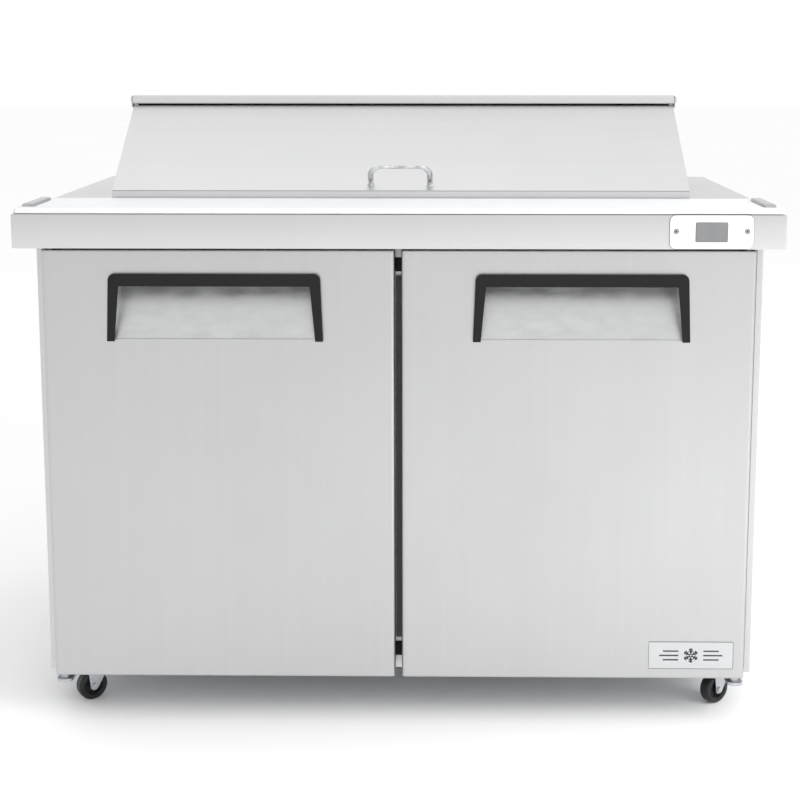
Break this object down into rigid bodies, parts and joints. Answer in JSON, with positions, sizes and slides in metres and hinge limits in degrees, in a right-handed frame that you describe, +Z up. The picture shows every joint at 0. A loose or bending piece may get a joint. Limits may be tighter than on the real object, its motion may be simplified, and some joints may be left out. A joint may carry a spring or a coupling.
{
  "type": "sandwich prep table",
  "caption": "Refrigerated stainless prep table: slanted lidded hood over food pans, white cutting board, hinged doors with black recessed pulls, swivel casters.",
  "frame": {"origin": "on the floor, under the middle of the whole object's bounding box", "axes": "+X to the right seen from the front along the table's width, the doors face -Y, +Z up"},
  "size_m": [1.224, 0.76, 1.028],
  "materials": {
    "steel": "brushed stainless, fine vertical or lengthwise grain",
    "satin_steel": "satin mottled stainless",
    "steel_inner": "drawn stainless, softly polished",
    "chrome": "polished",
    "zinc": "zinc plated",
    "aluminium": "mill finish",
    "copper": "drawn copper tube, dulled by handling",
    "coil_paint": "black coil paint",
    "compressor_paint": "gloss black paint",
    "white_plastic": "satin polyethylene and coated wire",
    "control_white": "satin moulded",
    "liner_plastic": "vacuum-formed white",
    "foam": "rigid polyurethane foam",
    "black_plastic": "satin black",
    "grey_plastic": "matte",
    "gasket_rubber": "matte",
    "wheel_rubber": "satin moulded",
    "display": "tinted window"
  },
  "bodies": {
    "cabinet": {"worktop": "steel", "front_frame": "steel", "center_mullion": "steel", "back_panel": "steel", "rear_grille": "steel", "side_panel_left": "steel", "side_panel_right": "steel", "hood_cover": "steel", "pan_rail": "steel_inner", "food_pan_1": "steel_inner", "food_pan_2": "steel_inner", "food_pan_3": "steel_inner", "food_pan_4": "steel_inner", "food_pan_5": "steel_inner", "board_bracket_left": "satin_steel", "board_bracket_right": "satin_steel", "base_pan": "zinc", "hinge_rod": "zinc", "hinge_bracket_lower_left": "zinc", "hinge_bracket_lower_right": "zinc", "hinge_bracket_upper_left": "zinc", "hinge_bracket_upper_right": "zinc", "cabinet_liner": "aluminium", "evaporator": "aluminium", "condenser": "coil_paint", "discharge_pipe": "copper", "compressor": "compressor_paint", "shelf_left": "white_plastic", "shelf_right": "white_plastic", "control_plate": "control_white", "cabinet_insulation": "foam", "cord_gland": "black_plastic", "controller_box": "grey_plastic", "display_window": "display"},
    "door_left": {"door_left_panel": "steel", "door_left_liner": "liner_plastic", "door_left_gasket": "gasket_rubber", "door_left_handle_pocket": "satin_steel", "door_left_handle_trim": "black_plastic"},
    "door_right": {"door_right_panel": "steel", "door_right_liner": "liner_plastic", "door_right_gasket": "gasket_rubber", "door_right_handle_pocket": "satin_steel", "door_right_handle_trim": "black_plastic", "badge_plate": "aluminium"},
    "lid": {"lid_panel": "steel", "lid_liner": "liner_plastic", "lid_handle": "chrome", "lid_hinge_bar": "steel"},
    "board": {"cutting_board": "white_plastic"},
    "condenser_fan_rotor": {"condenser_fan": "grey_plastic"},
    "evaporator_fan_rotor": {"evaporator_fan": "grey_plastic"},
    "caster_front_left": {"caster_fork_front_left": "zinc"},
    "wheel_front_left": {"caster_wheel_front_left": "wheel_rubber"},
    "caster_front_right": {"caster_fork_front_right": "zinc"},
    "wheel_front_right": {"caster_wheel_front_right": "wheel_rubber"},
    "caster_rear_left": {"caster_fork_rear_left": "zinc"},
    "wheel_rear_left": {"caster_wheel_rear_left": "wheel_rubber"},
    "caster_rear_right": {"caster_fork_rear_right": "zinc"},
    "wheel_rear_right": {"caster_wheel_rear_right": "wheel_rubber"}
  },
  "joints": [
    {"name": "door_left_hinge", "type": "hinge", "parent": "cabinet", "child": "door_left", "pos_m": [-0.558, -0.345, 0.43], "axis": [0, 0, -1], "range_deg": [0, 110], "stiffness_Nm_per_rad": 1.2, "springref_deg": -8.59},
    {"name": "door_right_hinge", "type": "hinge", "parent": "cabinet", "child": "door_right", "pos_m": [0.558, -0.345, 0.43], "axis": [0, 0, 1], "range_deg": [0, 110], "stiffness_Nm_per_rad": 1.2, "springref_deg": -8.59},
    {"name": "lid_hinge", "type": "hinge", "parent": "cabinet", "child": "lid", "pos_m": [0, 0.0205, 1.02], "axis": [-1, 0, 0], "range_deg": [0, 135]},
    {"name": "board_lift", "type": "slide", "parent": "cabinet", "child": "board", "axis": [0, 0, 1], "range_m": [0, 0.04]},
    {"name": "condenser_fan_spin", "type": "hinge", "parent": "cabinet", "child": "condenser_fan_rotor", "pos_m": [0.19, 0.287, 0.1934], "axis": [1, 0, 0], "continuous": true},
    {"name": "evaporator_fan_spin", "type": "hinge", "parent": "cabinet", "child": "evaporator_fan_rotor", "pos_m": [0, 0.2195, 0.575], "axis": [0, 1, 0], "continuous": true},
    {"name": "caster_front_left_swivel", "type": "hinge", "parent": "cabinet", "child": "caster_front_left", "pos_m": [-0.521, -0.261, 0.063], "axis": [0, 0, 1], "continuous": true},
    {"name": "caster_front_left_roll", "type": "hinge", "parent": "caster_front_left", "child": "wheel_front_left", "pos_m": [-0.53247, -0.26903, 0.0255], "axis": [-0.5736, 0.8192, 0], "continuous": true},
    {"name": "caster_front_right_swivel", "type": "hinge", "parent": "cabinet", "child": "caster_front_right", "pos_m": [0.551, -0.261, 0.063], "axis": [0, 0, 1], "continuous": true},
    {"name": "caster_front_right_roll", "type": "hinge", "parent": "caster_front_right", "child": "wheel_front_right", "pos_m": [0.53953, -0.26903, 0.0255], "axis": [-0.5736, 0.8192, 0], "continuous": true},
    {"name": "caster_rear_left_swivel", "type": "hinge", "parent": "cabinet", "child": "caster_rear_left", "pos_m": [-0.521, 0.3, 0.063], "axis": [0, 0, 1], "continuous": true},
    {"name": "caster_rear_left_roll", "type": "hinge", "parent": "caster_rear_left", "child": "wheel_rear_left", "pos_m": [-0.53247, 0.29197, 0.0255], "axis": [-0.5736, 0.8192, 0], "continuous": true},
    {"name": "caster_rear_right_swivel", "type": "hinge", "parent": "cabinet", "child": "caster_rear_right", "pos_m": [0.551, 0.3, 0.063], "axis": [0, 0, 1], "continuous": true},
    {"name": "caster_rear_right_roll", "type": "hinge", "parent": "caster_rear_right", "child": "wheel_rear_right", "pos_m": [0.53953, 0.29197, 0.0255], "axis": [-0.5736, 0.8192, 0], "continuous": true}
  ]
}
